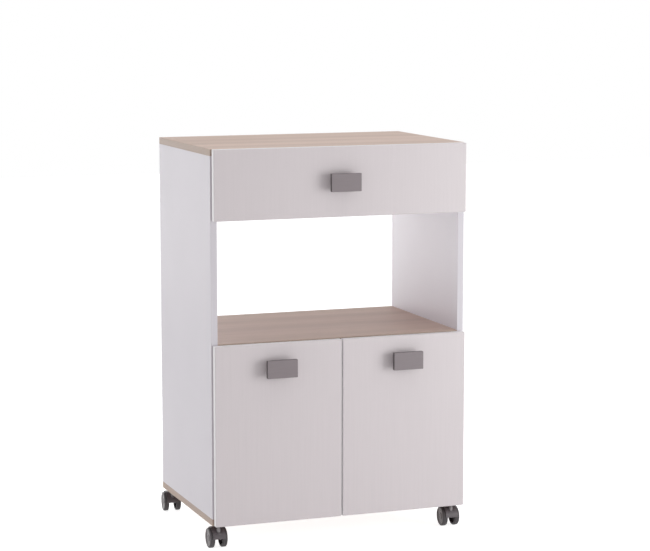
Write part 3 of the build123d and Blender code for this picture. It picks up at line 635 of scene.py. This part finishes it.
def wheelRings(setup, radius, width):
    rounding, count, tyre = setup["tyreRounding"], setup["cornerSteps"], radius - setup["tyreDepth"]
    groove, floor = width - setup["grooveDepth"], width - setup["dishDepth"]
    hub, hubCut, hollow = setup["hubRadius"], setup["hubChamfer"], setup["hollowDepth"]
    bore, boreCut, boreEnd = setup["boreRadius"], setup["boreChamfer"], setup["boreDepth"]
    wall, wallCut = tyre - setup["rimWall"], setup["rimChamfer"]
    inside = [
        (boreEnd, 0.0), (boreEnd, bore), (boreCut, bore), (0.0, bore + boreCut),
        (0.0, hub - hubCut), (hubCut, hub), (hollow, hub),
        (hollow, wall), (wallCut, wall), (0.0, wall + wallCut),
    ]
    tread = [
        (0.0, tyre),
        *roundCorner((rounding, radius - rounding), rounding, 180, 90, count),
        *roundCorner((width - rounding, radius - rounding), rounding, 90, 0, count),
        (width, tyre + setup["tyreLip"]), (groove, tyre),
    ]
    outside = [(groove, tyre - setup["grooveWidth"])]
    outside += [(width - down, tyre - inward) for down, inward in setup["discLip"]]
    for part in ("dishOuter", "bead", "dishInner"):
        outside += [(floor + up, ring) for up, ring in setup[part]]
    outside += [(width - down, ring) for down, ring in setup["hubTop"]]
    parts = ((inside, discSlot), (tread, treadSlot), (outside, discSlot))
    return [(ring, slot) for rings, slot in parts for ring in rings]


def turnedMesh(name, rings, start, out, setup):
    down = Vector((0, 0, -1))
    side = out.cross(down)
    steps = setup["steps"]
    turns = [2 * math.pi * i / steps for i in range(steps)]
    spokes = [down * math.cos(turn) + side * math.sin(turn) for turn in turns]
    shape = bmesh.new()
    rows = []
    for (along, radius), _ in rings:
        middle = start + out * along / perMetre
        places = [middle + spoke * radius / perMetre for spoke in spokes] if radius else [middle]
        rows.append([shape.verts.new(place) for place in places])
    for near, far, (_, slot) in zip(rows, rows[1:], rings[1:]):
        for k in range(steps):
            n = (k + 1) % steps
            corners = [near[k % len(near)], near[n % len(near)], far[n % len(far)], far[k % len(far)]]
            face = shape.faces.new(list(dict.fromkeys(corners)))  # a row of one closes in triangles
            face.material_index = slot
            face.smooth = True
    bmesh.ops.recalc_face_normals(shape, faces=shape.faces)
    for edge in shape.edges:
        edge.smooth = edge.calc_face_angle(0) < math.radians(setup["crease"])
    mesh = bpy.data.meshes.new(name)
    shape.to_mesh(mesh)
    shape.free()
    return mesh


for end in ("front_left", "front_right", "rear_left", "rear_right"):
    for side, way in (("left", -1), ("right", 1)):
        node = f"{end}_{side}_wheel"
        joint = joints[node + "_spin"]
        axle, out = Vector(joint["pos_m"]), Vector(joint["axis"]) * way
        corners = [vertex.co - axle for vertex in cadNodes[node].data.vertices]
        offsets = [corner.dot(out) for corner in corners]
        radius = max((corner - out * offset).length for corner, offset in zip(corners, offsets))
        rings = wheelRings(wheelSetup, radius * perMetre, (max(offsets) - min(offsets)) * perMetre)
        mesh = turnedMesh(node + "_turned", rings, axle + out * min(offsets), out, wheelSetup)
        mesh.materials.append(finishes["treadRubber"])
        mesh.materials.append(finishes["discPlastic"])
        wheel = bpy.data.objects.new(node + "_turned", mesh)
        scene.collection.objects.link(wheel)
        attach(wheel, node)
        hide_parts(node)
print("wheels turned:", len(mesh.polygons), "faces each")


# Floor, light and background

stageSetup = {
    "floorSize": 14,  # metres
    "floorPlace": (0, 2, 0),
    "floorTone": (0.80, 0.80, 0.80),
    "floorDrift": 0.01,
    "floorCloud": 0.8,
    "floorRoughness": 0.9,
    "floorGlow": 0.82,  # the share of the floor that is plain white to the camera
    "ambient": 0.50,
    "lamps": {  # place, size, power and tint
        "fillLamp": ((1.8, -1.9, 0.6), 1.4, 26.5, (0.98, 1.0, 0.99)),
        "sideLamp": ((-3.6, -0.2, 0.4), 2.0, 11.5, (1.0, 1.0, 1.0)),
        "rearLamp": ((-2.2, 2.6, 0.6), 2.0, 17.5, (1.0, 1.0, 1.0)),
        "nicheLamp": ((-0.1, 1.9, 0.6), 0.7, 9.0, (1.0, 1.0, 1.0)),
        "topLamp": ((0.2, -0.2, 3.6), 2.4, 20.5, (1.0, 1.0, 1.0)),
    },
    "aim": (0.0, 0.0, 0.45),
}


def whiteToCamera(tree):
    rays = addNode(tree, "ShaderNodeLightPath").outputs
    seen = rays["Is Camera Ray"]
    for name in ("Is Glossy Ray", "Is Transmission Ray"):
        seen = calculate(tree, "MAXIMUM", seen, rays[name])
    return seen


def makeFloor(setup):
    bpy.ops.mesh.primitive_plane_add(size=setup["floorSize"], location=setup["floorPlace"])
    floor = bpy.context.object
    floor.name = "studioFloor"
    material, tree, shader, coords = startMaterial("studioFloor")
    cloud = noise(tree, coords["Object"], setup["floorCloud"])
    feed(tree, drifting(tree, cloud, setup["floorTone"], setup["floorDrift"]), shader.inputs["Base Color"])
    shader.inputs["Roughness"].default_value = setup["floorRoughness"]
    glow = calculate(tree, "MULTIPLY", whiteToCamera(tree), setup["floorGlow"])
    shader.inputs["Emission Color"].default_value = (1, 1, 1, 1)
    feed(tree, glow, shader.inputs["Emission Strength"])
    floor.data.materials.append(material)


def makeLamp(name, place, size, power, tint, aim):
    lamp = bpy.data.lights.new(name, "AREA")
    lamp.size = size
    lamp.energy = power
    lamp.color = tint
    holder = bpy.data.objects.new(name, lamp)
    holder.location = place
    holder.rotation_euler = (Vector(aim) - Vector(place)).to_track_quat("-Z", "Y").to_euler()
    scene.collection.objects.link(holder)


def makeSky(setup):
    world = bpy.data.worlds.new("studioSky")
    world.use_nodes = True
    scene.world = world
    tree = world.node_tree
    sky = tree.nodes["Background"]
    sky.inputs["Color"].default_value = (1, 1, 1, 1)
    feed(tree, spread(tree, whiteToCamera(tree), setup["ambient"], 1.0, 0, 1), sky.inputs["Strength"])


makeFloor(stageSetup)
for name, lamp in stageSetup["lamps"].items():
    makeLamp(name, *lamp, stageSetup["aim"])
makeSky(stageSetup)
scene.view_settings.view_transform = "Standard"
print("stage set")
